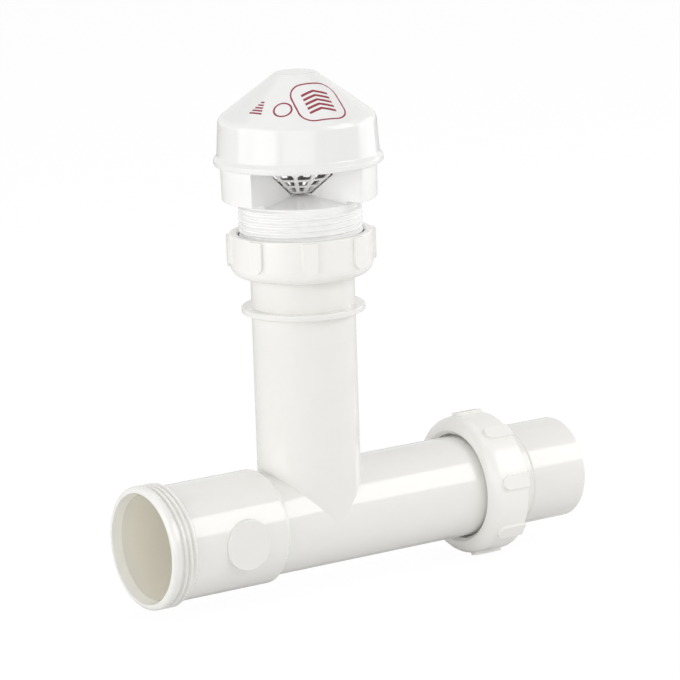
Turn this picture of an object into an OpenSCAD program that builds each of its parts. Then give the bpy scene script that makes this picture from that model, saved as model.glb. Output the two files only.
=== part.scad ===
// Air admittance valve on a slip-joint drain tee, for a 38 mm tubular waste line.
// The run lies along X, with the origin on its axis where the straight bore of the socket begins.
// The branch stands up along Z and carries the valve head.

/* [Drain tee] */
// Outside diameter of the drain tubes
tube_od = 38.1; // [36:0.1:41]
// Wall of the drain tubes
tube_wall = 1.7; // [1.2:0.1:2.5]
// Socket mouth to the branch axis
bell_reach = 73.5; // [72:0.5:90]
// Branch axis to the end of the plain tail
tail_reach = 113.7; // [113:0.1:150]
// Depth of the socket from its mouth to its stop
socket_depth = 47.7; // [40:0.1:49]
// Radial play of a tube in the socket
socket_play = 0.4; // [0.1:0.05:0.45]
// Wall of the socket bell
bell_wall = 1.7; // [1.5:0.1:2.4]
// Depth of the bevel inside the socket mouth, which the sealing washer is pressed into
mouth_bevel = 3.5; // [1:0.5:5]
// Length of tail that goes into the next socket, marked by a line
tail_insertion = 24; // [20:0.5:30.5]

/* [Pad on the bell] */
// Diameter of the flat round pad
pad_d = 18.6; // [10:0.2:24]
// Socket mouth to the centre of the pad
pad_reach = 32.5; // [28:0.5:36]
// Height of the pad above the bell
pad_height = 0.6; // [0.3:0.1:1.2]

/* [Collar on the branch] */
// Run axis to the underside of the collar
collar_height = 77.4; // [60:0.2:90]
// Width of the collar round the branch tube
collar_width = 3.6; // [2.5:0.1:6]
// Thickness of the collar
collar_thick = 2.3; // [1.5:0.1:4]

/* [Slip threads and nuts] */
// Height of the thread crest above the bell
thread_rise = 1.55; // [1.2:0.05:1.8]
// Depth of the thread
thread_depth = 1.1; // [0.8:0.05:1.2]
// Pitch of the thread
thread_pitch = 2.1; // [1.8:0.1:2.4]
// Turns of thread on the bell
bell_turns = 3.5; // [2:0.5:6]
// Height of a slip nut
nut_height = 16; // [13:0.2:16.4]
// Wall of a slip nut between its lugs
nut_wall = 3.15; // [2.6:0.05:4]
// Thickness of the closed end of a nut
nut_floor = 3; // [2.4:0.1:4]
// Radial play of a nut's hole round the tube
nut_hole_play = 0.95; // [0.5:0.05:1]
// Number of grip lugs round a nut
lug_count = 8; // [4:1:10]
// Width of a lug
lug_width = 5.5; // [4:0.5:8]
// Height of a lug above the nut
lug_height = 1; // [0.6:0.1:2]
// Collar to the underside of the branch nut
nut_rise = 11.4; // [9.3:0.1:14]
// Branch axis to the closed end of the loose nut on the tail
tail_nut_reach = 65.5; // [65:0.1:66]
// Thickness of the sealing washer
washer_thick = 3; // [2:0.1:4]

/* [Valve head] */
// Length of the threaded spigot
spigot_length = 21; // [20:0.5:26]
// Length of branch tube inside the spigot
branch_insertion = 15; // [10:0.5:15]
// Radial step from the cap's skirt in to the air ducts
duct_inset = 0.8; // [0.6:0.1:1.4]
// Height of the air windows
window_height = 14; // [12.5:0.1:16]
// Rise of the window floor toward the middle, per millimetre
floor_slope = 0.13; // [0.1:0.01:0.2]
// Turn of the air windows from straight ahead
window_turn = -26; // [-45:1:45]
// Wall of the valve head
head_wall = 1.6; // [1.2:0.1:2]

/* [Screen, seat and disc] */
// Outside diameter of the screen basket at its top
screen_d = 30; // [28:0.5:34]
// Outside diameter of the screen basket at its bottom
screen_bottom_d = 10; // [8:0.2:16]
// Bars round the screen basket, as pairs across the middle
screen_bar_pairs = 7; // [6:1:14]
// Width of a screen bar
screen_bar = 1.4; // [0.8:0.1:1.5]
// Height of the valve seat above the window roof
seat_height = 4.6; // [4:0.1:6]
// Thickness of the sealing ring
seal_thick = 1.5; // [1:0.1:2]
// Thickness of the valve disc
disc_thick = 2; // [1.5:0.1:3]
// Lift of the valve disc
disc_lift = 6; // [4:0.5:7]
// Diameter of the guide stem
stem_d = 5; // [4:0.2:6]

/* [Cap] */
// Height of the cap
cap_height = 33.1; // [32:0.1:40]
// Diameter of the skirt where it meets the flare
skirt_d = 58.8; // [58:0.2:62]
// Height of the skirt, to the foot of the cone
skirt_height = 16.9; // [15:0.1:18]
// Reach of the flared rim past the skirt
rim_flare = 1.5; // [1:0.1:2.5]
// Thickness of the flared rim
rim_thick = 2; // [1.5:0.1:2.4]
// Diameter of the flat top
cap_top_d = 14.8; // [12:0.2:20]
// Wall of the cap
cap_wall = 2; // [1.7:0.1:2.2]

/* [Hidden] */
$fn = 96;
// Reach of a cutting shape past the faces that it cuts
cut_over = 1;
// Depth that joined shapes run into each other
bury = 0.5;
// Straight steps in a rounded corner
corner_steps = 8;
// Radii of plain moulded edges
fine_edge = 0.3;
soft_edge = 0.5;
round_edge = 0.8;

// Run of the tee
mouth_x = -mouth_bevel;
branch_x = mouth_x + bell_reach;
tail_x = branch_x + tail_reach;
tube_r = tube_od / 2;
bore_r = tube_r - tube_wall;
socket_r = tube_r + socket_play;
bell_r = socket_r + bell_wall;
bell_length = socket_depth + bell_wall;
bell_shoulder = 2.4;
bevel_rise = 1;
tail_edge = 0.9;
line_width = 1.2;
line_depth = 0.3;

// Slip thread, nut and washer
thread_r = bell_r + thread_rise;
root_r = thread_r - thread_depth;
lip_length = 3.2;
lip_edge = 1.8;
bell_thread_length = lip_length + bell_turns * thread_pitch;
nut_play = 0.35;
nut_bore_r = thread_r + nut_play;
nut_r = nut_bore_r + nut_wall;
nut_hole_r = tube_r + nut_hole_play;
nut_shoulder = 4.6;
nut_edge = 0.6;
nut_bevel = 1.3;
nut_mouth = 0.8;
lug_root_r = nut_r - nut_edge;
lug_over = 0.4;
lug_length = nut_height - nut_shoulder + lug_over;
branch_lug_turn = -117;
tail_lug_turn = -11;
washer_play = 0.08;
washer_r = root_r + soft_edge;
washer_bevel = 1.2;

// Faces that close on each other lie this far apart
seat_gap = 0.05;

// Heights on the branch
nut_z = collar_height + collar_thick + nut_rise;
washer_z = nut_z + nut_floor + seat_gap;
spigot_z = washer_z + washer_thick + seat_gap;
branch_top = spigot_z + branch_insertion;
stop_gap = 0.5;
stop_z = branch_top + stop_gap;
spigot_top = spigot_z + spigot_length;
cap_z = spigot_top + window_height;

// Valve head
skirt_r = skirt_d / 2;
spigot_bore_r = tube_r + socket_play;
throat_r = bore_r;
duct_r = skirt_r - duct_inset;
duct_draft = 0.3;
duct_rise = 1.1;
duct_bottom = spigot_top + duct_rise;
duct_angle = 90;
duct_wall_angle = 5;
duct_ledge = 0.3;
register_play = 0.15;
register_r = skirt_r - cap_wall - register_play;
register_height = 4;
plate_thick = 1.8;
floor_peak = spigot_top + root_r * floor_slope;

// Screen, seat and disc
screen_r = screen_d / 2;
screen_bottom_r = screen_bottom_d / 2;
screen_wall = 1;
screen_flange = 1.4;
screen_flange_thick = 1.2;
screen_rings = 4;
screen_ring_height = 0.9;
screen_play = 0.4;
screen_foot_gap = 0.4;
screen_foot = floor_peak + screen_foot_gap;
core_play = 0.5;
core_foot_r = screen_bottom_r + core_play;
core_drop = 3.5;
core_z = cap_z - core_drop;
ledge_rise = 1;
seat_ledge = cap_z + ledge_rise;
seat_top = cap_z + seat_height;
flange_play = 0.15;
seat_bore_r = screen_r + screen_flange + flange_play;
seat_wall = 1.6;
seat_r = seat_bore_r + seat_wall;
seal_over = 0.8;
seal_inset = 3;
seal_z = seat_top + seat_gap;
seal_r = seat_r + seal_over;
seal_bore_r = seat_bore_r - seal_inset;
disc_z = seal_z + seal_thick;
disc_over = 0.3;
disc_r = seal_r + disc_over;
disc_top = disc_z + disc_thick;
stem_r = stem_d / 2;
hub_wall = 2;
hub_height = 1.5;

// Guide for the stem under the cap
guide_play = 0.35;
guide_wall = 2;
guide_gap = 0.6;
guide_length = 5;
guide_spare = 0.8;
guide_z = disc_top + hub_height + disc_lift + guide_gap;
stem_top = guide_z + guide_length;
guide_top = stem_top + disc_lift + guide_spare;

// Cap
skirt_draft = 0.6;
flare_height = 4.4;
rim_edge = 0.7;
crown_edge = 1.2;
cap_top_r = cap_top_d / 2;
cap_shoulder = 4;

function unit(v) = v / norm(v);

// Points of a corner at b between a and c, rounded to radius r
function corner(a, b, c, r) =
    r <= 0 ? [b] :
    let (
        u = unit(a - b),
        w = unit(c - b),
        half = acos(u * w) / 2,
        centre = b + unit(u + w) * r / sin(half),
        start = b + u * r / tan(half) - centre,
        end = b + w * r / tan(half) - centre,
        from = atan2(start.y, start.x),
        turn = (atan2(end.y, end.x) - from + 540) % 360 - 180,
        step = turn / corner_steps
    )
    [for (i = [0:corner_steps]) centre + r * [cos(from + step * i), sin(from + step * i)]];

// Outline through corners given as [x, y, radius]
function rounded(path) =
    let (n = len(path), xy = [for (p = path) [p[0], p[1]]])
    [for (i = [0:n - 1]) each corner(xy[(i + n - 1) % n], xy[i], xy[(i + 1) % n], path[i][2])];

// Solid turned from an outline of [radius, height, corner radius]
module turned(path, angle = 360) {
    rotate_extrude(angle = angle)
        polygon(rounded(path));
}

// Lays a shape that was built up Z along the run instead, starting at a place on X
module along_run(x) {
    translate([x, 0, 0])
        rotate([0, 90, 0])
        children();
}

module on_branch() {
    translate([branch_x, 0, 0])
        children();
}

// Puts a sector that starts at angle 0 at each of two opposite places
module both_sides(middle, width) {
    for (side = [0, 180])
        rotate([0, 0, middle + side - width / 2])
            children();
}

// Outside of the run: lip, thread core, bell, shoulder, tube, line and tail
module run_outside() {
    end = tail_x - mouth_x;
    line = end - tail_insertion;
    along_run(mouth_x)
        turned([
            [0, 0, 0],
            [thread_r, 0, lip_edge],
            [thread_r, lip_length, fine_edge],
            [root_r, lip_length, 0],
            [root_r, bell_thread_length, 0],
            [bell_r, bell_thread_length + root_r - bell_r, 0],
            [bell_r, bell_length, bell_shoulder / 2],
            [tube_r, bell_length + bell_shoulder, 0],
            [tube_r, line - line_width, 0],
            [tube_r - line_depth, line - line_width / 2, 0],
            [tube_r, line, 0],
            [tube_r, end, tail_edge],
            [0, end, 0]
        ]);
}

// Waterway of the run: bevelled mouth, socket, stop and tube bore
module run_waterway() {
    end = tail_x - mouth_x + cut_over;
    along_run(mouth_x)
        turned([
            [0, -cut_over, 0],
            [socket_r + bevel_rise, -cut_over, 0],
            [socket_r + bevel_rise, 0, 0],
            [socket_r, mouth_bevel, 0],
            [socket_r, socket_depth, 0],
            [bore_r, socket_depth, 0],
            [bore_r, end, 0],
            [0, end, 0]
        ]);
}

// Tee moulded in one piece, with its socket bell, collar and pad
module tee_body() {
    collar_r = tube_r + collar_width;
    pad_face = bell_r + pad_height;
    color("ivory")
    difference() {
        union() {
            run_outside();
            on_branch()
                turned([[0, 0, 0], [tube_r, 0, 0], [tube_r, branch_top, soft_edge], [0, branch_top, 0]]);
            on_branch()
                translate([0, 0, collar_height])
                turned([
                    [tube_r - bury, 0, 0],
                    [collar_r, 0, soft_edge],
                    [collar_r, collar_thick, soft_edge],
                    [tube_r - bury, collar_thick, 0]
                ]);
            translate([mouth_x + pad_reach, 0, 0])
                rotate([90, 0, 0])
                turned([[0, 0, 0], [pad_d / 2, 0, 0], [pad_d / 2, pad_face, fine_edge], [0, pad_face, 0]]);
        }
        run_waterway();
        on_branch()
            cylinder(r = bore_r, h = branch_top + cut_over);
    }
}

// Slip nut, closed end down and threaded mouth up
module slip_nut() {
    difference() {
        union() {
            turned([
                [0, 0, 0],
                [nut_r, 0, nut_shoulder],
                [nut_r, nut_height, nut_edge],
                [0, nut_height, 0]
            ]);
            for (i = [0:lug_count - 1])
                rotate([0, 0, i * 360 / lug_count])
                    grip_lug();
        }
        turned([
            [0, -cut_over, 0],
            [nut_hole_r + nut_bevel, -cut_over, 0],
            [nut_hole_r + nut_bevel, 0, 0],
            [nut_hole_r, nut_bevel, 0],
            [nut_hole_r, nut_height + cut_over, 0],
            [0, nut_height + cut_over, 0]
        ]);
        turned([
            [0, nut_floor, 0],
            [nut_bore_r, nut_floor, 0],
            [nut_bore_r, nut_height - nut_mouth, 0],
            [nut_bore_r + nut_mouth, nut_height, 0],
            [nut_bore_r + nut_mouth, nut_height + cut_over, 0],
            [0, nut_height + cut_over, 0]
        ]);
    }
}

// Grip lug with a flat crown and a round lower end
module grip_lug() {
    top = nut_height - nut_edge / 2;
    bottom = nut_height - lug_length + lug_width / 2;
    rise = nut_r + lug_height - lug_root_r;
    translate([lug_root_r, 0, 0]) {
        translate([0, -lug_width / 2, bottom])
            cube([rise, lug_width, top - bottom]);
        translate([0, 0, bottom])
            rotate([0, 90, 0])
            cylinder(d = lug_width, h = rise);
    }
}

// Nut that clamps the valve head on the branch
module branch_nut() {
    color("ivory")
        on_branch()
        translate([0, 0, nut_z])
        rotate([0, 0, branch_lug_turn])
        slip_nut();
}

// Loose nut on the tail, with its mouth toward the next fitting
module tail_nut() {
    color("ivory")
        along_run(branch_x + tail_nut_reach)
        rotate([0, 0, tail_lug_turn])
        slip_nut();
}

// Bevelled washer that seals the branch tube in the spigot
module branch_washer() {
    inner_r = tube_r + washer_play;
    color("dimgray")
        on_branch()
        translate([0, 0, washer_z])
        turned([
            [inner_r, 0, 0],
            [washer_r, 0, 0],
            [washer_r, washer_thick - washer_bevel, 0],
            [washer_r - washer_bevel, washer_thick, 0],
            [inner_r, washer_thick, 0]
        ]);
}

// Outside of the valve head before its hollows are cut
module head_solid() {
    turned([
        [0, spigot_z, 0],
        [root_r, spigot_z, round_edge],
        [root_r, spigot_top, 0],
        [0, floor_peak, 0]
    ]);
    both_sides(window_turn, duct_angle)
        turned([
            [0, spigot_top - bury, 0],
            [root_r - duct_ledge, spigot_top - bury, 0],
            [root_r - duct_ledge, duct_bottom, 0],
            [duct_r - duct_draft, duct_bottom, soft_edge],
            [duct_r, cap_z, 0],
            [0, cap_z, 0]
        ], duct_angle);
    turned([
        [0, cap_z - bury, 0],
        [register_r, cap_z - bury, 0],
        [register_r, cap_z + register_height, 0],
        [register_r - head_wall, cap_z + register_height, 0],
        [register_r - head_wall, cap_z + plate_thick, 0],
        [seat_r, cap_z + plate_thick, 0],
        [seat_r, seat_top, 0],
        [0, seat_top, 0]
    ]);
}

// Spigot bore, stop and throat under the window floor
module spigot_hollow() {
    turned([
        [0, spigot_z - cut_over, 0],
        [spigot_bore_r, spigot_z - cut_over, 0],
        [spigot_bore_r, stop_z, 0],
        [throat_r, stop_z, 0],
        [throat_r, spigot_top - head_wall, 0],
        [0, spigot_top - head_wall + throat_r * floor_slope, 0]
    ]);
}

// Space for the screen basket and the seat opening above it
module core_hollow() {
    mouth_r = screen_r + screen_play;
    turned([
        [0, floor_peak, 0],
        [core_foot_r, floor_peak, 0],
        [mouth_r, core_z, 0],
        [mouth_r, seat_ledge, 0],
        [seat_bore_r, seat_ledge, 0],
        [seat_bore_r, seat_top + cut_over, 0],
        [0, seat_top + cut_over, 0]
    ]);
}

// Air duct from the chamber under the cap down into the spigot
module duct_hollow(angle) {
    low = spigot_top - head_wall - bury;
    shelf = duct_bottom + head_wall;
    high = cap_z + plate_thick + cut_over;
    foot_r = core_foot_r + head_wall;
    outer_top_r = register_r - head_wall - duct_ledge;
    inner_top_r = seat_r + duct_ledge;
    turned([
        [foot_r, low, 0],
        [throat_r - duct_ledge, low, 0],
        [throat_r - duct_ledge, shelf, 0],
        [duct_r - duct_draft - head_wall, shelf, 0],
        [outer_top_r, cap_z, 0],
        [outer_top_r, high, 0],
        [inner_top_r, high, 0],
        [inner_top_r, core_z, 0],
        [foot_r, floor_peak, 0]
    ], angle);
}

// Spigot, air ducts, window roof and valve seat moulded in one piece
module valve_body() {
    hollow_angle = duct_angle - 2 * duct_wall_angle;
    color("whitesmoke")
    on_branch()
    difference() {
        head_solid();
        spigot_hollow();
        core_hollow();
        both_sides(window_turn, hollow_angle)
            duct_hollow(hollow_angle);
    }
}

// Shell of the screen basket before it is cut to bars
module basket_shell() {
    inner_r = screen_r - screen_wall;
    turned([
        [0, screen_foot, 0],
        [screen_bottom_r, screen_foot, 0],
        [screen_r, core_z, 0],
        [screen_r, seat_ledge + bury, 0],
        [inner_r, seat_ledge + bury, 0],
        [inner_r, core_z, 0],
        [screen_bottom_r - screen_wall / 2, screen_foot + screen_wall, 0],
        [0, screen_foot + screen_wall, 0]
    ]);
}

// Upright bars through the middle and flat rings, as wide as the flange
module basket_grid() {
    flange_r = screen_r + screen_flange;
    depth = seat_ledge - screen_foot;
    for (i = [0:screen_bar_pairs - 1])
        rotate([0, 0, i * 180 / screen_bar_pairs])
            translate([-flange_r, -screen_bar / 2, screen_foot - cut_over])
            cube([2 * flange_r, screen_bar, depth + 2 * cut_over]);
    for (i = [0:screen_rings])
        translate([0, 0, screen_foot + i * (depth - screen_ring_height) / screen_rings])
            difference() {
                cylinder(r = flange_r, h = screen_ring_height);
                translate([0, 0, -cut_over])
                    cylinder(r = screen_bottom_r - 2 * screen_bar, h = screen_ring_height + 2 * cut_over);
            }
}

// Basket of bars and rings that keeps insects out, hung from its flange
module insect_screen() {
    color("white")
    on_branch() {
        translate([0, 0, seat_ledge])
            difference() {
                cylinder(r = screen_r + screen_flange, h = screen_flange_thick);
                translate([0, 0, -cut_over])
                    cylinder(r = screen_r - screen_wall, h = screen_flange_thick + 2 * cut_over);
            }
        intersection() {
            basket_shell();
            basket_grid();
        }
    }
}

// Disc that lifts to let air in, with its guide stem
module valve_disc() {
    color("gainsboro")
    on_branch()
    translate([0, 0, disc_z])
    turned([
        [0, 0, 0],
        [disc_r, 0, 0],
        [disc_r, disc_thick, soft_edge],
        [stem_r + hub_wall, disc_thick, 0],
        [stem_r + hub_wall, disc_thick + hub_height, fine_edge],
        [stem_r, disc_thick + hub_height, 0],
        [stem_r, stem_top - disc_z, soft_edge],
        [0, stem_top - disc_z, 0]
    ]);
}

// Soft ring under the disc that closes on the seat
module disc_seal() {
    color("silver")
    on_branch()
    translate([0, 0, seal_z])
    turned([
        [seal_bore_r, 0, 0],
        [seal_r, 0, fine_edge],
        [seal_r, seal_thick, 0],
        [seal_bore_r, seal_thick, 0]
    ]);
}

// Cap with flared rim, skirt, cone and the guide for the stem
module vent_cap() {
    rim_r = skirt_r + rim_flare;
    cone_run = skirt_r - skirt_draft - cap_top_r;
    cone_rise = cap_height - skirt_height;
    cone_wall = cap_wall / sin(atan2(cone_run, cone_rise));
    inner_r = skirt_r - cap_wall;
    top_under = cap_height - cap_wall;
    inner_top_r = cap_top_r - (cone_wall - cap_wall) * cone_run / cone_rise;
    inner_foot = cap_height - cone_wall - (inner_r - skirt_draft - cap_top_r) * cone_rise / cone_run;
    guide_r = stem_r + guide_play;
    color("whitesmoke")
    on_branch()
    translate([0, 0, cap_z])
    turned([
        [inner_r, 0, 0],
        [rim_r, 0, rim_edge],
        [rim_r, rim_thick, rim_edge],
        [skirt_r + fine_edge, flare_height - round_edge, crown_edge],
        [skirt_r - skirt_draft, skirt_height, cap_shoulder],
        [cap_top_r, cap_height, crown_edge],
        [0, cap_height, 0],
        [0, guide_top - cap_z, 0],
        [guide_r, guide_top - cap_z, 0],
        [guide_r, guide_z - cap_z, 0],
        [guide_r + guide_wall, guide_z - cap_z, 0],
        [guide_r + guide_wall, top_under, 0],
        [inner_top_r, top_under, 0],
        [inner_r - skirt_draft, inner_foot, cap_shoulder - cap_wall],
        [inner_r, flare_height, 0]
    ]);
}

tee_body();
branch_washer();
branch_nut();
tail_nut();
valve_body();
insect_screen();
valve_disc();
disc_seal();
vent_cap();
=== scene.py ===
"""Looks of an air admittance valve on a slip-joint drain tee: finishes, threads, print, light and camera."""

import logging
import math
from dataclasses import dataclass, field
from enum import Enum
from typing import Callable, ClassVar

import bpy
from mathutils import Matrix, Vector


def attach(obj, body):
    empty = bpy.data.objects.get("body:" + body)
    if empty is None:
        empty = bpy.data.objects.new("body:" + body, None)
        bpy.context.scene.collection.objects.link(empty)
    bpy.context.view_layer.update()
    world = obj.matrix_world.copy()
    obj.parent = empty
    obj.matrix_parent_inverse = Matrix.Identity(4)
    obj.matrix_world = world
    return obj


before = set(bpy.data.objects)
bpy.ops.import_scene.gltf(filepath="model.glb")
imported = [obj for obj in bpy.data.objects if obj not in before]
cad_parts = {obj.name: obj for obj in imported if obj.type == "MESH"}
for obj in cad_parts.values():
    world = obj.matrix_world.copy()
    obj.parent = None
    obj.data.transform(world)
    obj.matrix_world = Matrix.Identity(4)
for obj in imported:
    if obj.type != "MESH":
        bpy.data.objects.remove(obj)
LOG = logging.getLogger("vent_valve")
MM = 0.001
Colour = tuple[float, float, float]
Place = tuple[float, float, float]
THREAD_ROOT_R = 21.6
THREAD_CREST_R = 22.7
BRANCH_X = 70.0


class Axis(Enum):
    """Way that a turned piece points when it is done."""

    UP = "branch"
    RUN = "run"


class Body(Enum):
    """Moving bodies that the pieces ride on."""

    TEE = "tee"
    CLAMP_NUT = "clamp_nut"
    LOOSE_NUT = "loose_nut"


class Slot(Enum):
    """Names of the finishes that the added pieces share."""

    TEE = "tee_plastic"
    NUT = "nut_plastic"
    HEAD = "head_plastic"


class NodeSheet:
    """Node tree of one material, with short calls to add and join nodes."""

    NOISE_RANGE: ClassVar[tuple[float, float]] = (0.3, 0.7)
    COLOUR_A: ClassVar[int] = 6
    COLOUR_B: ClassVar[int] = 7
    COLOUR_OUT: ClassVar[int] = 2

    def __init__(self, name: str) -> None:
        """Starts an empty material.

        Args:
            name: Name of the material.
        """
        self.material = bpy.data.materials.new(name)
        self.material.use_nodes = True
        self.tree = self.material.node_tree
        self.tree.nodes.clear()

    def add(self, kind: str, **settings: object) -> bpy.types.Node:
        """Adds a node.

        Args:
            kind: Blender's type name of the node.
            settings: Properties to set on it.

        Returns:
            The new node.
        """
        node = self.tree.nodes.new(kind)
        for key, value in settings.items():
            setattr(node, key, value)
        return node

    def join(self, source: bpy.types.NodeSocket, target: bpy.types.NodeSocket) -> None:
        """Links an output socket to an input socket."""
        self.tree.links.new(source, target)

    def math(self, operation: str, *values: float | bpy.types.NodeSocket) -> bpy.types.NodeSocket:
        """Adds a math node.

        Args:
            operation: Blender's name of the operation.
            values: Numbers or output sockets, in order.

        Returns:
            The node's output.
        """
        node = self.add("ShaderNodeMath", operation=operation)
        for place, value in enumerate(values):
            if isinstance(value, (int, float)):
                node.inputs[place].default_value = value
            else:
                self.join(value, node.inputs[place])
        return node.outputs[0]

    def place(self) -> bpy.types.NodeSocket:
        """Returns the Object coordinates, in metres."""
        return self.add("ShaderNodeTexCoord").outputs["Object"]

    def noise(self, place: bpy.types.NodeSocket, scale: float, detail: float) -> bpy.types.NodeSocket:
        """Adds a noise texture.

        Args:
            place: Coordinates that it reads.
            scale: Cells in a metre.
            detail: Octaves of finer noise.

        Returns:
            Its value, from 0 to 1.
        """
        node = self.add("ShaderNodeTexNoise")
        node.inputs["Scale"].default_value = scale
        node.inputs["Detail"].default_value = detail
        self.join(place, node.inputs["Vector"])
        return node.outputs["Fac"]

    def spread(
        self, value: bpy.types.NodeSocket, low: float, high: float, to_low: float, to_high: float,
    ) -> bpy.types.NodeSocket:
        """Maps a value from one range to another, held at its ends.

        Args:
            value: Value to map.
            low: Start of its range.
            high: End of its range.
            to_low: What the start becomes.
            to_high: What the end becomes.

        Returns:
            The mapped value.
        """
        node = self.add("ShaderNodeMapRange", clamp=True)
        for place, number in enumerate((low, high, to_low, to_high), start=1):
            node.inputs[place].default_value = number
        self.join(value, node.inputs[0])
        return node.outputs[0]

    def mix(
        self, amount: bpy.types.NodeSocket, first: Colour | bpy.types.NodeSocket,
        second: Colour | bpy.types.NodeSocket,
    ) -> bpy.types.NodeSocket:
        """Mixes two colours.

        Args:
            amount: Share of the second, from 0 to 1.
            first: Colour or socket at 0.
            second: Colour or socket at 1.

        Returns:
            The mixed colour.
        """
        node = self.add("ShaderNodeMix", data_type="RGBA")
        self.join(amount, node.inputs["Factor"])
        for place, value in ((self.COLOUR_A, first), (self.COLOUR_B, second)):
            if isinstance(value, tuple):
                node.inputs[place].default_value = (*value, 1.0)
            else:
                self.join(value, node.inputs[place])
        return node.outputs[self.COLOUR_OUT]

    def bump(self, height: bpy.types.NodeSocket, strength: float, depth: float) -> bpy.types.NodeSocket:
        """Adds a bump.

        Args:
            height: Height from 0 to 1.
            strength: Share of the bump that shows.
            depth: Real height of 1, in millimetres.

        Returns:
            The bumped normal.
        """
        node = self.add("ShaderNodeBump")
        node.inputs["Strength"].default_value = strength
        node.inputs["Distance"].default_value = depth * MM
        self.join(height, node.inputs["Height"])
        return node.outputs["Normal"]

    def output(self, shader: bpy.types.Node) -> bpy.types.Material:
        """Joins a shader to the output.

        Args:
            shader: Node whose first output is the surface.

        Returns:
            The finished material.
        """
        end = self.add("ShaderNodeOutputMaterial")
        self.join(shader.outputs[0], end.inputs["Surface"])
        return self.material


@dataclass(frozen=True)
class MouldedPlastic:
    """Injection-moulded plastic: cloudy colour, faint flow streaks, fine grain and an uneven gloss."""

    name: str
    colour: Colour
    shade: Colour
    roughness: float
    gloss_spread: float
    grain: float
    streak_along: Axis
    coat: float = 0.0

    CLOUD_SCALE: ClassVar[float] = 45.0
    CLOUD_SHARE: ClassVar[float] = 0.55
    CLOUD_RANGE: ClassVar[tuple[float, float]] = (0.32, 0.68)
    STREAK_SHARE: ClassVar[float] = 0.45
    STREAK_SLOW: ClassVar[float] = 12.0
    STREAK_FAST: ClassVar[float] = 260.0
    SCUFF_SCALE: ClassVar[float] = 380.0
    GRAIN_SCALE: ClassVar[float] = 2600.0
    GRAIN_DEPTH: ClassVar[float] = 0.01
    IOR: ClassVar[float] = 1.49
    COAT_ROUGHNESS: ClassVar[float] = 0.04

    def colour_socket(self, sheet: NodeSheet, place: bpy.types.NodeSocket) -> bpy.types.NodeSocket:
        """Builds the cloudy colour with flow streaks.

        Args:
            sheet: Material's node sheet.
            place: Object coordinates.

        Returns:
            The colour.
        """
        cloud = sheet.noise(place, self.CLOUD_SCALE, detail=3.0)
        stretch = sheet.add("ShaderNodeMapping")
        slow, fast = self.STREAK_SLOW, self.STREAK_FAST
        along_run = self.streak_along is Axis.RUN
        stretch.inputs["Scale"].default_value = (slow, fast, fast) if along_run else (fast, fast, slow)
        sheet.join(place, stretch.inputs["Vector"])
        streak = sheet.noise(stretch.outputs["Vector"], scale=1.0, detail=2.0)
        soft_cloud = sheet.math("MULTIPLY", cloud, self.CLOUD_SHARE)
        both = sheet.math("MULTIPLY_ADD", streak, self.STREAK_SHARE, soft_cloud)
        return sheet.mix(sheet.spread(both, *self.CLOUD_RANGE, 0.0, 1.0), self.colour, self.shade)

    def material(self) -> bpy.types.Material:
        """Builds the material.

        Returns:
            The finished material.
        """
        sheet = NodeSheet(self.name)
        place = sheet.place()
        skin = sheet.add("ShaderNodeBsdfPrincipled")
        sheet.join(self.colour_socket(sheet, place), skin.inputs["Base Color"])
        scuff = sheet.noise(place, self.SCUFF_SCALE, detail=4.0)
        smoothest, roughest = self.roughness - self.gloss_spread, self.roughness + self.gloss_spread
        rough = sheet.spread(scuff, *sheet.NOISE_RANGE, smoothest, roughest)
        sheet.join(rough, skin.inputs["Roughness"])
        grain = sheet.noise(place, self.GRAIN_SCALE, detail=2.0)
        sheet.join(sheet.bump(grain, self.grain, self.GRAIN_DEPTH), skin.inputs["Normal"])
        skin.inputs["IOR"].default_value = self.IOR
        skin.inputs["Coat Weight"].default_value = self.coat
        skin.inputs["Coat Roughness"].default_value = self.COAT_ROUGHNESS
        return sheet.output(skin)


@dataclass(frozen=True)
class TeePlastic(MouldedPlastic):
    """Plastic of the tee, with painted light in its waterways: a brighter, warmer beige that stands in for
    light shining through the thin wall. Sizes in millimetres.
    """

    # painted light: brighter beige for the socket and bore, standing in for light through the thin wall
    bore: Colour = (0.985, 0.957, 0.862)
    socket_r: float = 20.6
    socket_edge: float = 0.25
    socket_end: float = 44.5
    bore_r: float = 17.7
    painted_glow_from: float = -3.0
    painted_glow_to: float = 4.0
    mouth_share: float = 0.25

    def colour_socket(self, sheet: NodeSheet, place: bpy.types.NodeSocket) -> bpy.types.NodeSocket:
        """Adds the painted light inside the socket and bore to the cloudy colour: a brighter beige, fainter
        towards the mouth, that stands in for light through the thin wall.

        Args:
            sheet: Material's node sheet.
            place: Object coordinates.

        Returns:
            The colour.
        """
        outside = MouldedPlastic.colour_socket(self, sheet, place)
        split = sheet.add("ShaderNodeSeparateXYZ")
        sheet.join(place, split.inputs[0])
        x, y, z = split.outputs
        across = sheet.math("ADD", sheet.math("MULTIPLY", y, y), sheet.math("MULTIPLY", z, z))
        run_r = sheet.math("SQRT", across)
        under_rim = sheet.spread(run_r, (self.socket_r - self.socket_edge) * MM, self.socket_r * MM, 1.0, 0.0)
        before_step = sheet.math("LESS_THAN", x, self.socket_end * MM)
        in_socket = sheet.math("MULTIPLY", under_rim, before_step)
        in_bore = sheet.math("LESS_THAN", run_r, self.bore_r * MM)
        depth = sheet.spread(x, self.painted_glow_from * MM, self.painted_glow_to * MM, self.mouth_share, 1.0)
        # painted light: the socket and bore take the brighter beige, fading in from the mouth
        inside = sheet.math("MULTIPLY", sheet.math("MAXIMUM", in_socket, in_bore), depth)
        return sheet.mix(inside, outside, self.bore)


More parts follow.
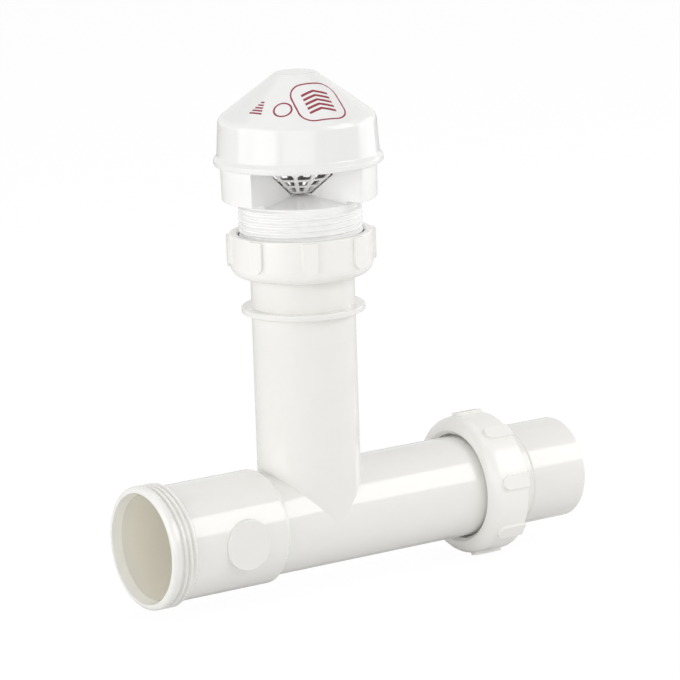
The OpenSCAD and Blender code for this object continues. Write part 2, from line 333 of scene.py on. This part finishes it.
@dataclass(frozen=True)
class SoftRubber:
    """Dull rubber with a fine bloom."""

    name: str
    colour: Colour
    bloom: Colour

    DUST_SCALE: ClassVar[float] = 700.0
    DUST_RANGE: ClassVar[tuple[float, float]] = (0.45, 0.75)
    ROUGHNESS: ClassVar[tuple[float, float]] = (0.55, 0.75)
    GRAIN_SCALE: ClassVar[float] = 1800.0
    GRAIN_SHARE: ClassVar[float] = 0.2
    GRAIN_DEPTH: ClassVar[float] = 0.05

    def material(self) -> bpy.types.Material:
        """Builds the material.

        Returns:
            The finished material.
        """
        sheet = NodeSheet(self.name)
        place = sheet.place()
        skin = sheet.add("ShaderNodeBsdfPrincipled")
        dust = sheet.spread(sheet.noise(place, self.DUST_SCALE, detail=4.0), *self.DUST_RANGE, 0.0, 1.0)
        sheet.join(sheet.mix(dust, self.colour, self.bloom), skin.inputs["Base Color"])
        sheet.join(sheet.spread(dust, 0.0, 1.0, *self.ROUGHNESS), skin.inputs["Roughness"])
        grain = sheet.noise(place, self.GRAIN_SCALE, detail=3.0)
        sheet.join(sheet.bump(grain, self.GRAIN_SHARE, self.GRAIN_DEPTH), skin.inputs["Normal"])
        return sheet.output(skin)


@dataclass(frozen=True)
class PrintInk:
    """Pad-printed ink, a little thin and speckled."""

    name: str
    colour: Colour
    thin: Colour

    SPECKLE_SCALE: ClassVar[float] = 1500.0
    SPECKLE_RANGE: ClassVar[tuple[float, float]] = (0.42, 0.72)
    SPECKLE_SHARE: ClassVar[float] = 0.15
    SPECKLE_DEPTH: ClassVar[float] = 0.01
    ROUGHNESS: ClassVar[tuple[float, float]] = (0.38, 0.5)

    def material(self) -> bpy.types.Material:
        """Builds the material.

        Returns:
            The finished material.
        """
        sheet = NodeSheet(self.name)
        place = sheet.place()
        skin = sheet.add("ShaderNodeBsdfPrincipled")
        specks = sheet.noise(place, self.SPECKLE_SCALE, detail=5.0)
        speckle = sheet.spread(specks, *self.SPECKLE_RANGE, 0.0, 1.0)
        sheet.join(sheet.mix(speckle, self.colour, self.thin), skin.inputs["Base Color"])
        sheet.join(sheet.spread(speckle, 0.0, 1.0, *self.ROUGHNESS), skin.inputs["Roughness"])
        sheet.join(sheet.bump(speckle, self.SPECKLE_SHARE, self.SPECKLE_DEPTH), skin.inputs["Normal"])
        return sheet.output(skin)


class Workbench:
    """Small modelling steps shared by the pieces."""

    DOUBLES: ClassVar[float] = 1e-7

    @staticmethod
    def clear() -> None:
        """Leaves edit mode and deselects everything."""
        if bpy.context.object and bpy.context.object.mode != "OBJECT":
            bpy.ops.object.mode_set(mode="OBJECT")
        bpy.ops.object.select_all(action="DESELECT")

    @staticmethod
    def pick(obj: bpy.types.Object) -> None:
        """Makes one object the only selected and active one.

        Args:
            obj: Object to pick.
        """
        Workbench.clear()
        obj.select_set(True)
        bpy.context.view_layer.objects.active = obj

    @staticmethod
    def select_where(test: Callable[[Vector], bool]) -> None:
        """Selects the vertices of the object in edit mode that pass a test.

        Args:
            test: Function of a vertex's place that says whether it is selected.
        """
        bpy.ops.mesh.select_mode(type="VERT")
        bpy.ops.mesh.select_all(action="DESELECT")
        bpy.ops.object.mode_set(mode="OBJECT")
        for vertex in bpy.context.object.data.vertices:
            vertex.select = test(vertex.co)
        bpy.ops.object.mode_set(mode="EDIT")

    @staticmethod
    def settle(obj: bpy.types.Object) -> None:
        """Puts an object's place, turn and size into its mesh."""
        Workbench.pick(obj)
        bpy.ops.object.transform_apply(location=True, rotation=True, scale=True)

    @staticmethod
    def apply(obj: bpy.types.Object, kind: str, **settings: object) -> None:
        """Adds a modifier and applies it.

        Args:
            obj: Object that gets it.
            kind: Blender's type name of the modifier.
            settings: Properties to set on it.
        """
        Workbench.pick(obj)
        modifier = obj.modifiers.new(kind.title(), kind)
        for key, value in settings.items():
            setattr(modifier, key, value)
        bpy.ops.object.modifier_apply(modifier=modifier.name)

    @staticmethod
    def heal(obj: bpy.types.Object, smooth_angle: float) -> None:
        """Merges doubles, closes holes, turns the faces outwards and smooths the shading.

        Args:
            obj: Object to heal.
            smooth_angle: Greatest angle between smooth faces, in degrees.
        """
        Workbench.pick(obj)
        bpy.ops.object.mode_set(mode="EDIT")
        bpy.ops.mesh.select_all(action="SELECT")
        bpy.ops.mesh.remove_doubles(threshold=Workbench.DOUBLES)
        bpy.ops.mesh.fill_holes(sides=0)
        bpy.ops.mesh.select_all(action="SELECT")
        bpy.ops.mesh.normals_make_consistent(inside=False)
        bpy.ops.object.mode_set(mode="OBJECT")
        bpy.ops.object.shade_smooth_by_angle(angle=math.radians(smooth_angle))

    @staticmethod
    def finish(
        obj: bpy.types.Object, material: bpy.types.Material, body: Body, slot: Slot | None,
    ) -> bpy.types.Object:
        """Gives a piece its material and its body.

        Args:
            obj: Finished piece.
            material: Its material.
            body: Body that it rides on.
            slot: Name of its finish, if it has one; not used.

        Returns:
            The piece.
        """
        obj.data.materials.clear()
        obj.data.materials.append(material)
        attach(obj, body.value)
        LOG.info("piece %s: %d faces on %s", obj.name, len(obj.data.polygons), body.value)
        return obj


@dataclass
class SlipThread:
    """Thread ridge on a helix, out of a core or into a bore. Sizes in millimetres, angles in degrees."""

    name: str
    body: Body
    slot: Slot
    axis: Axis
    place: float
    length: float
    wall_r: float
    crest_r: float
    phase: float
    pitch: float = 2.1
    foot: float = 1.8
    crest: float = 0.5
    run_out: float = 50.0
    sunk: float = 0.2
    steps_per_turn: int = 96
    rounding_share: float = 0.4
    rounding_steps: int = 3
    smooth_angle: float = 50.0

    def build(self, material: bpy.types.Material) -> bpy.types.Object:
        """Models the ridge and puts it on its body.

        Args:
            material: Finish of the ridge.

        Returns:
            The piece.
        """
        obj = self._profile()
        turns = (self.length - self.foot) / self.pitch
        steps = round(self.steps_per_turn * turns)
        Workbench.apply(
            obj, "SCREW", axis="Z", angle=2 * math.pi * turns, screw_offset=self.pitch * MM * turns,
            iterations=1, steps=steps, render_steps=steps, use_merge_vertices=False, use_smooth_shade=True,
        )
        self._fade_ends(obj, turns)
        Workbench.heal(obj, self.smooth_angle)
        obj.rotation_euler = (0.0, 0.0, math.radians(self.phase))
        Workbench.settle(obj)
        if self.axis is Axis.RUN:
            obj.rotation_euler = (0.0, math.pi / 2, 0.0)
            obj.location = (self.place * MM, 0.0, 0.0)
        else:
            obj.location = (BRANCH_X * MM, 0.0, self.place * MM)
        Workbench.settle(obj)
        return Workbench.finish(obj, material, self.body, self.slot)

    def _profile(self) -> bpy.types.Object:
        """Models the ridge's section as a rounded trapezium beside the axis.

        Returns:
            The section, one closed outline.
        """
        outward = 1.0 if self.crest_r > self.wall_r else -1.0
        low = self.wall_r - outward * self.sunk
        middle = (low + self.crest_r) / 2
        Workbench.clear()
        bpy.ops.mesh.primitive_plane_add(
            size=1.0, location=(middle * MM, 0.0, self.foot / 2 * MM), rotation=(math.pi / 2, 0.0, 0.0))
        obj = bpy.context.object
        obj.name = self.name
        obj.data.name = self.name
        obj.scale = (abs(self.crest_r - low) * MM, self.foot * MM, 1.0)
        Workbench.settle(obj)
        bpy.ops.object.mode_set(mode="EDIT")
        Workbench.select_where(lambda co: outward * (co.x - middle * MM) > 0)
        bpy.ops.transform.resize(
            value=(1.0, 1.0, self.crest / self.foot), center_override=(middle * MM, 0.0, self.foot / 2 * MM))
        rounding = self.crest * self.rounding_share
        bpy.ops.mesh.bevel(offset=rounding * MM, segments=self.rounding_steps, affect="VERTICES")
        bpy.ops.mesh.select_all(action="SELECT")
        bpy.ops.mesh.delete(type="ONLY_FACE")
        bpy.ops.object.mode_set(mode="OBJECT")
        return obj

    def _fade_ends(self, obj: bpy.types.Object, turns: float) -> None:
        """Lets the ridge run out into the wall at both ends.

        Args:
            obj: Ridge, wound about Z.
            turns: Number of turns it was wound.
        """
        total = turns * 360.0
        foot_r = (self.wall_r - math.copysign(self.sunk, self.crest_r - self.wall_r)) * MM
        for vertex in obj.data.vertices:
            angle = math.degrees(math.atan2(vertex.co.y, vertex.co.x))
            reach = (vertex.co.z / MM - self.foot / 2) / self.pitch * 360.0
            wound = angle + 360.0 * round((reach - angle) / 360.0)
            share = min(1.0, max(0.0, min(wound, total - wound) / self.run_out))
            share = share * share * (3.0 - 2.0 * share)
            radius = math.hypot(vertex.co.x, vertex.co.y)
            scale = (foot_r + (radius - foot_r) * share) / radius
            vertex.co.x *= scale
            vertex.co.y *= scale


@dataclass
class CapPrint:
    """Generic red marks pad-printed on the cap's cone. Sizes in millimetres, angles in degrees."""

    foot_r: float = 28.8
    foot_z: float = 149.1
    top_r: float = 7.4
    top_z: float = 165.3
    film: float = 0.03
    main_angle: float = -99.0
    main_share: float = 0.47
    frame_side: float = 19.0
    frame_line: float = 0.65
    chevron_width: float = 10.4
    chevron_line: float = 1.1
    chevron_count: int = 5
    ring_angle: float = -137.0
    ring_share: float = 0.34
    ring_outer: float = 3.6
    ring_inner: float = 2.9
    bars_angle: float = -163.0
    bars_share: float = 0.36
    bar_width: float = 5.6
    bar_line: float = 0.75
    bar_count: int = 5
    smooth_angle: float = 40.0

    CORNER_SHARE: ClassVar[float] = 0.3
    CORNER_STEPS: ClassVar[int] = 8
    RING_CORNERS: ClassVar[int] = 48
    RING_STEPS: ClassVar[int] = 3
    CUTS: ClassVar[int] = 9
    BAR_CUTS: ClassVar[int] = 11
    CHEVRON_PITCH: ClassVar[float] = 2.0
    CHEVRON_RISE: ClassVar[float] = 1.5
    CHEVRON_SINK: ClassVar[float] = 0.6
    BAR_PITCH: ClassVar[float] = 1.8
    BAR_TAPER: ClassVar[float] = 0.18
    FILM_SHARE: ClassVar[float] = 0.8
    NEAR_MIDDLE: ClassVar[float] = 1e-6

    def build(self, material: bpy.types.Material) -> list[bpy.types.Object]:
        """Prints the marks on the cone.

        Args:
            material: Ink.

        Returns:
            The marks.
        """
        outline = self._rounded_frame("mark_frame", self.frame_side, self.frame_line)
        self._print(outline, self.main_angle, self.main_share)
        chevrons = self._chevrons("mark_chevrons", self.chevron_width, self.chevron_line, self.chevron_count)
        self._print(chevrons, self.main_angle, self.main_share)
        ring = self._ring("mark_ring", self.ring_outer, self.ring_inner)
        self._print(ring, self.ring_angle, self.ring_share)
        bars = self._bars("mark_bars", self.bar_width, self.bar_line, self.bar_count)
        self._print(bars, self.bars_angle, self.bars_share)
        return [Workbench.finish(mark, material, Body.TEE, None) for mark in (outline, chevrons, ring, bars)]

    def _rounded_frame(self, name: str, side: float, line: float) -> bpy.types.Object:
        """Models a square outline with round corners, flat at the origin.

        Args:
            name: Name of the piece.
            side: Width of the square.
            line: Width of the line.

        Returns:
            The outline.
        """
        Workbench.clear()
        bpy.ops.mesh.primitive_plane_add(size=side * MM)
        obj = bpy.context.object
        obj.name = name
        bpy.ops.object.mode_set(mode="EDIT")
        bpy.ops.mesh.select_all(action="SELECT")
        corner = side * self.CORNER_SHARE
        bpy.ops.mesh.bevel(offset=corner * MM, segments=self.CORNER_STEPS, affect="VERTICES")
        bpy.ops.mesh.select_all(action="SELECT")
        bpy.ops.mesh.inset(thickness=line * MM)
        bpy.ops.mesh.delete(type="FACE")
        bpy.ops.mesh.select_all(action="SELECT")
        bpy.ops.mesh.subdivide(number_cuts=self.CUTS)
        bpy.ops.object.mode_set(mode="OBJECT")
        return obj

    def _chevrons(self, name: str, width: float, line: float, count: int) -> bpy.types.Object:
        """Models a stack of upward chevrons, flat at the origin.

        Args:
            name: Name of the piece.
            width: Width of a chevron.
            line: Height of its line.
            count: Number of chevrons.

        Returns:
            The stack.
        """
        made = []
        for row in range(count):
            Workbench.clear()
            middle = ((row - (count - 1) / 2) * self.CHEVRON_PITCH - self.CHEVRON_SINK) * line
            bpy.ops.mesh.primitive_plane_add(size=1.0, location=(0.0, middle * MM, 0.0))
            obj = bpy.context.object
            obj.scale = (width * MM, line * MM, 1.0)
            Workbench.settle(obj)
            bpy.ops.object.mode_set(mode="EDIT")
            bpy.ops.mesh.select_all(action="SELECT")
            bpy.ops.mesh.subdivide(number_cuts=1)
            Workbench.select_where(lambda co: abs(co.x) < self.NEAR_MIDDLE)
            bpy.ops.transform.translate(value=(0.0, self.CHEVRON_RISE * line * MM, 0.0))
            bpy.ops.mesh.select_all(action="SELECT")
            bpy.ops.mesh.subdivide(number_cuts=self.CUTS)
            bpy.ops.object.mode_set(mode="OBJECT")
            made.append(obj)
        return self._as_one(made, name)

    def _ring(self, name: str, outer: float, inner: float) -> bpy.types.Object:
        """Models a flat ring at the origin.

        Args:
            name: Name of the piece.
            outer: Outer radius.
            inner: Inner radius.

        Returns:
            The ring.
        """
        Workbench.clear()
        bpy.ops.mesh.primitive_circle_add(vertices=self.RING_CORNERS, radius=outer * MM, fill_type="NOTHING")
        obj = bpy.context.object
        obj.name = name
        bpy.ops.object.mode_set(mode="EDIT")
        scale = (inner / outer) ** (1.0 / self.RING_STEPS)
        for _ in range(self.RING_STEPS):
            bpy.ops.mesh.extrude_edges_move()
            bpy.ops.transform.resize(value=(scale, scale, 1.0), center_override=(0.0, 0.0, 0.0))
        bpy.ops.object.mode_set(mode="OBJECT")
        return obj

    def _bars(self, name: str, width: float, line: float, count: int) -> bpy.types.Object:
        """Models a stack of plain bars, each shorter than the one below, flat at the origin.

        Args:
            name: Name of the piece.
            width: Width of the lowest bar.
            line: Height of a bar.
            count: Number of bars.

        Returns:
            The stack.
        """
        made = []
        for row in range(count):
            Workbench.clear()
            middle = (row - (count - 1) / 2) * self.BAR_PITCH * line
            bpy.ops.mesh.primitive_plane_add(size=1.0, location=(0.0, middle * MM, 0.0))
            obj = bpy.context.object
            obj.scale = (width * (1.0 - self.BAR_TAPER * row) * MM, line * MM, 1.0)
            Workbench.settle(obj)
            bpy.ops.object.mode_set(mode="EDIT")
            bpy.ops.mesh.select_all(action="SELECT")
            bpy.ops.mesh.subdivide(number_cuts=self.BAR_CUTS)
            bpy.ops.object.mode_set(mode="OBJECT")
            made.append(obj)
        return self._as_one(made, name)

    @staticmethod
    def _as_one(parts: list[bpy.types.Object], name: str) -> bpy.types.Object:
        """Joins parts into one object.

        Args:
            parts: Objects to join.
            name: Name of the result.

        Returns:
            The joined object.
        """
        Workbench.pick(parts[0])
        for part in parts:
            part.select_set(True)
        bpy.ops.object.join()
        parts[0].name = name
        return parts[0]

    def _print(self, obj: bpy.types.Object, angle: float, share: float) -> None:
        """Lays a flat mark on the cone as a thin film.

        Args:
            obj: Flat mark at the origin, with its top along Y.
            angle: Place round the cone, from X towards Y.
            share: Place up the cone, from 0 at its foot to 1 at its top.
        """
        slope = Vector((self.top_r - self.foot_r, 0.0, self.top_z - self.foot_z)).normalized()
        side = Vector((0.0, 1.0, 0.0))
        outward = side.cross(slope)
        radius = self.foot_r + (self.top_r - self.foot_r) * share
        height = self.foot_z + (self.top_z - self.foot_z) * share
        base = Matrix((side, slope, outward)).transposed().to_4x4()
        turn = Matrix.Rotation(math.radians(angle), 4, "Z")
        move = Matrix.Translation(Vector((BRANCH_X, 0.0, 0.0)) * MM)
        seat = Matrix.Translation(Vector((radius, 0.0, height)) * MM)
        obj.matrix_world = move @ turn @ seat @ base
        Workbench.settle(obj)
        Workbench.apply(
            obj, "SHRINKWRAP", target=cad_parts["vent_cap"], wrap_method="NEAREST_SURFACEPOINT",
            wrap_mode="ABOVE_SURFACE", offset=self.film * MM)
        Workbench.apply(obj, "SOLIDIFY", thickness=self.FILM_SHARE * self.film * MM, offset=-1.0)
        Workbench.heal(obj, self.smooth_angle)


@dataclass
class DrainTee:
    """Tee with two slip nuts and a washer. Sizes in millimetres, as in the solids, and angles in degrees."""

    bell_thread_x: float = 0.0
    bell_thread_length: float = 7.1
    bell_thread_phase: float = 120.0
    tail_nut_x: float = 135.5
    tail_nut_phase: float = 40.0
    branch_nut_z: float = 91.1
    nut_bore_r: float = 23.05
    nut_crest_r: float = 22.2
    nut_ridge_foot: float = 0.95
    nut_ridge_crest: float = 0.4
    nut_thread_start: float = 6.6
    nut_thread_length: float = 8.4
    tee_finish: bpy.types.Material | None = field(default=None, init=False)
    nut_finish: bpy.types.Material | None = field(default=None, init=False)

    def dress(self) -> None:
        """Gives the tee, the nuts and the washer their finishes."""
        tee = TeePlastic(
            "warm_white_tee", (0.872, 0.864, 0.836), (0.858, 0.849, 0.818),
            roughness=0.12, gloss_spread=0.025, grain=0.08, streak_along=Axis.RUN, coat=0.25)
        nut = MouldedPlastic(
            "warm_white_nut", (0.915, 0.907, 0.878), (0.90, 0.89, 0.858),
            roughness=0.22, gloss_spread=0.04, grain=0.12, streak_along=Axis.UP, coat=0.1)
        rubber = SoftRubber("dark_rubber", (0.022, 0.021, 0.02), (0.06, 0.058, 0.055))
        self.tee_finish = dress_node("tee_body", tee.material())
        self.nut_finish = nut.material()
        for node in ("branch_nut", "tail_nut"):
            dress_node(node, self.nut_finish)
        dress_node("branch_washer", rubber.material())

    def build(self) -> None:
        """Models the thread on the bell and the threads inside both nuts."""
        SlipThread(
            "bell_thread", Body.TEE, Slot.TEE, Axis.RUN, self.bell_thread_x, self.bell_thread_length,
            THREAD_ROOT_R, THREAD_CREST_R, self.bell_thread_phase).build(self.tee_finish)
        self._nut_thread(
            "branch_nut_thread", Body.CLAMP_NUT, Axis.UP, self.branch_nut_z, self.branch_nut_phase())
        self._nut_thread("tail_nut_thread", Body.LOOSE_NUT, Axis.RUN, self.tail_nut_x, self.tail_nut_phase)

    def _nut_thread(self, name: str, body: Body, axis: Axis, back: float, phase: float) -> None:
        """Models the thread inside a nut.

        Args:
            name: Name of the piece.
            body: Nut that it rides on.
            axis: Way that the nut points.
            back: Place of the nut's closed side on that axis.
            phase: Turn of the ridge, in degrees.
        """
        SlipThread(
            name, body, Slot.NUT, axis, back + self.nut_thread_start, self.nut_thread_length, self.nut_bore_r,
            self.nut_crest_r, phase, foot=self.nut_ridge_foot, crest=self.nut_ridge_crest,
        ).build(self.nut_finish)

    def branch_nut_phase(self) -> float:
        """Works out the turn that sets the nut's ridge midway between the spigot's ridges.

        Returns:
            The turn, in degrees.
        """
        spigot = ValveHead()
        spigot_middle = spigot.thread_z + SlipThread.foot / 2
        nut_middle = self.branch_nut_z + self.nut_thread_start + self.nut_ridge_foot / 2
        return spigot.thread_phase + ((nut_middle - spigot_middle) / SlipThread.pitch + 0.5) * 360.0


@dataclass
class ValveHead:
    """Spigot, ducts, screen, disc and cap. Sizes in millimetres, as in the solids, and angles in degrees."""

    thread_z: float = 97.8
    thread_length: float = 20.1
    thread_phase: float = 0.0
    body_finish: bpy.types.Material | None = field(default=None, init=False)

    def dress(self) -> None:
        """Gives the head's pieces their finishes."""
        cap = MouldedPlastic(
            "neutral_white_cap", (0.872, 0.870, 0.864), (0.859, 0.856, 0.849),
            roughness=0.13, gloss_spread=0.025, grain=0.08, streak_along=Axis.UP, coat=0.1)
        body = MouldedPlastic(
            "neutral_white_body", (0.93, 0.928, 0.922), (0.916, 0.913, 0.906),
            roughness=0.17, gloss_spread=0.03, grain=0.08, streak_along=Axis.UP, coat=0.1)
        screen = MouldedPlastic(
            "white_screen", (0.94, 0.932, 0.915), (0.89, 0.88, 0.862),
            roughness=0.42, gloss_spread=0.08, grain=0.12, streak_along=Axis.UP)
        disc = MouldedPlastic(
            "pale_disc", (0.62, 0.62, 0.60), (0.56, 0.56, 0.54),
            roughness=0.45, gloss_spread=0.08, grain=0.1, streak_along=Axis.UP)
        seal = SoftRubber("grey_seal", (0.17, 0.175, 0.18), (0.24, 0.245, 0.25))
        self.body_finish = dress_node("valve_body", body.material())
        dress_node("vent_cap", cap.material())
        dress_node("insect_screen", screen.material())
        dress_node("valve_disc", disc.material())
        dress_node("disc_seal", seal.material())

    def build(self) -> None:
        """Models the spigot's thread and the print on the cap."""
        SlipThread(
            "spigot_thread", Body.TEE, Slot.HEAD, Axis.UP, self.thread_z, self.thread_length,
            THREAD_ROOT_R, THREAD_CREST_R, self.thread_phase).build(self.body_finish)
        ink = PrintInk("crimson_ink", (0.25, 0.006, 0.028), (0.34, 0.032, 0.062))
        CapPrint().build(ink.material())


def dress_node(node: str, material: bpy.types.Material) -> bpy.types.Material:
    """Puts a finish on a solid of the frame.

    Args:
        node: Name of the solid.
        material: Its finish.

    Returns:
        The finish.
    """
    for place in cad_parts[node].material_slots:
        place.material = material
    LOG.info("finish %s on %s", material.name, node)
    return material


@dataclass
class Softbox:
    """Rectangular studio lamp that faces a point. Sizes in metres, power in watts."""

    name: str
    place: Place
    aim: Place
    width: float
    height: float
    power: float

    def build(self) -> None:
        """Hangs the lamp."""
        data = bpy.data.lights.new(self.name, "AREA")
        data.shape = "RECTANGLE"
        data.size = self.width
        data.size_y = self.height
        data.energy = self.power
        lamp = bpy.data.objects.new(self.name, data)
        bpy.context.scene.collection.objects.link(lamp)
        lamp.location = self.place
        lamp.rotation_euler = (Vector(self.aim) - Vector(self.place)).to_track_quat("-Z", "Y").to_euler()


@dataclass
class Studio:
    """Pale floor, soft light and the camera. Places in metres, lens and sensor in millimetres."""

    camera_place: Place = (-0.73442427, -1.20988523, 0.3729334)
    camera_aim: Place = (0.08561896, 0.0, 0.06384529)
    camera_roll: float = -1.8943
    lens: float = 214.78
    sensor: float = 36.0
    clip_start: float = 0.01
    lamp_aim: Place = (0.08, 0.0, 0.06)
    head_aim: Place = (0.07, 0.0, 0.1)
    floor_z: float = -0.0275
    floor_side: float = 9.0
    floor_lift: float = 0.93
    floor_glow: float = 1.03
    floor_light: Colour = (0.9, 0.9, 0.9)
    floor_dark: Colour = (0.88, 0.88, 0.88)
    floor_mottle: float = 3.0
    ambient: float = 0.36
    room_tint: Colour = (1.0, 0.995, 0.985)
    room_white: Colour = (1.0, 1.0, 1.0)
    room_glow: float = 1.0

    def build(self) -> None:
        """Sets the floor, the surroundings, the lamps and the camera."""
        self._floor()
        self._surroundings()
        self._camera()
        lamps = (
            Softbox("run_softbox", (0.62, -0.72, 0.56), self.lamp_aim, width=0.66, height=0.6, power=3.7),
            Softbox("side_panel", (-0.6, -0.1, 0.16), self.head_aim, width=0.4, height=0.46, power=0.42),
            Softbox("top_softbox", (0.1, 0.25, 1.5), self.lamp_aim, width=1.6, height=1.6, power=5.4),
            Softbox("front_fill", (-0.95, -1.6, 0.25), self.lamp_aim, width=1.5, height=1.0, power=6.0),
            Softbox("left_fill", (-1.25, 0.1, 0.3), self.lamp_aim, width=1.7, height=1.0, power=9.6),
            Softbox("right_fill", (1.3, -0.1, 0.2), self.lamp_aim, width=1.0, height=0.7, power=3.6),
        )
        for lamp in lamps:
            lamp.build()
        bpy.context.scene.view_settings.view_transform = "Standard"

    def _floor(self) -> None:
        """Lays a pale floor that keeps a soft shadow and goes white for the camera."""
        Workbench.clear()
        bpy.ops.mesh.primitive_plane_add(size=self.floor_side, location=(0.0, 0.0, self.floor_z))
        floor = bpy.context.object
        floor.name = "floor"
        Workbench.settle(floor)
        sheet = NodeSheet("pale_floor")
        card = sheet.add("ShaderNodeBsdfDiffuse")
        clouds = sheet.noise(sheet.place(), self.floor_mottle, detail=2.0)
        mottle = sheet.spread(clouds, *sheet.NOISE_RANGE, 0.0, 1.0)
        sheet.join(sheet.mix(mottle, self.floor_light, self.floor_dark), card.inputs["Color"])
        white = sheet.add("ShaderNodeEmission")
        white.inputs["Strength"].default_value = self.floor_glow
        path = sheet.add("ShaderNodeLightPath")
        seen = sheet.math("MULTIPLY", path.outputs["Is Camera Ray"], self.floor_lift)
        blend = sheet.add("ShaderNodeMixShader")
        sheet.join(seen, blend.inputs[0])
        sheet.join(card.outputs[0], blend.inputs[1])
        sheet.join(white.outputs[0], blend.inputs[2])
        floor.data.materials.append(sheet.output(blend))

    def _surroundings(self) -> None:
        """Fills the room with even light, and shows it white to the camera and in reflections."""
        world = bpy.data.worlds.new("studio_room")
        bpy.context.scene.world = world
        world.use_nodes = True
        tree = world.node_tree
        tree.nodes.clear()
        path = tree.nodes.new("ShaderNodeLightPath")
        seen = tree.nodes.new("ShaderNodeMath")
        seen.operation = "MAXIMUM"
        tree.links.new(path.outputs["Is Camera Ray"], seen.inputs[0])
        tree.links.new(path.outputs["Is Glossy Ray"], seen.inputs[1])
        room = tree.nodes.new("ShaderNodeBackground")
        room.inputs["Color"].default_value = (*self.room_tint, 1.0)
        room.inputs["Strength"].default_value = self.ambient
        white = tree.nodes.new("ShaderNodeBackground")
        white.inputs["Color"].default_value = (*self.room_white, 1.0)
        white.inputs["Strength"].default_value = self.room_glow
        blend = tree.nodes.new("ShaderNodeMixShader")
        tree.links.new(seen.outputs[0], blend.inputs[0])
        tree.links.new(room.outputs[0], blend.inputs[1])
        tree.links.new(white.outputs[0], blend.inputs[2])
        end = tree.nodes.new("ShaderNodeOutputWorld")
        tree.links.new(blend.outputs[0], end.inputs["Surface"])

    def _camera(self) -> None:
        """Sets the camera at the photograph's place, aim, roll and lens."""
        data = bpy.data.cameras.new("camera")
        data.lens = self.lens
        data.sensor_width = self.sensor
        data.clip_start = self.clip_start
        camera = bpy.data.objects.new("camera", data)
        bpy.context.scene.collection.objects.link(camera)
        back = (Vector(self.camera_place) - Vector(self.camera_aim)).normalized()
        right = Vector((0.0, 0.0, 1.0)).cross(back).normalized()
        up = back.cross(right)
        roll = Matrix.Rotation(math.radians(self.camera_roll), 4, "Z")
        turn = Matrix((right, up, back)).transposed().to_4x4() @ roll
        camera.matrix_world = Matrix.Translation(self.camera_place) @ turn
        bpy.context.scene.camera = camera


def main() -> None:
    """Dresses and models the valve, and sets the studio."""
    logging.basicConfig(level=logging.INFO, format="%(name)s: %(message)s")
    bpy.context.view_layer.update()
    for assembly in (DrainTee(), ValveHead()):
        assembly.dress()
        assembly.build()
    Studio().build()
    LOG.info("solids and dressed part measured")


if __name__ == "__main__":
    main()
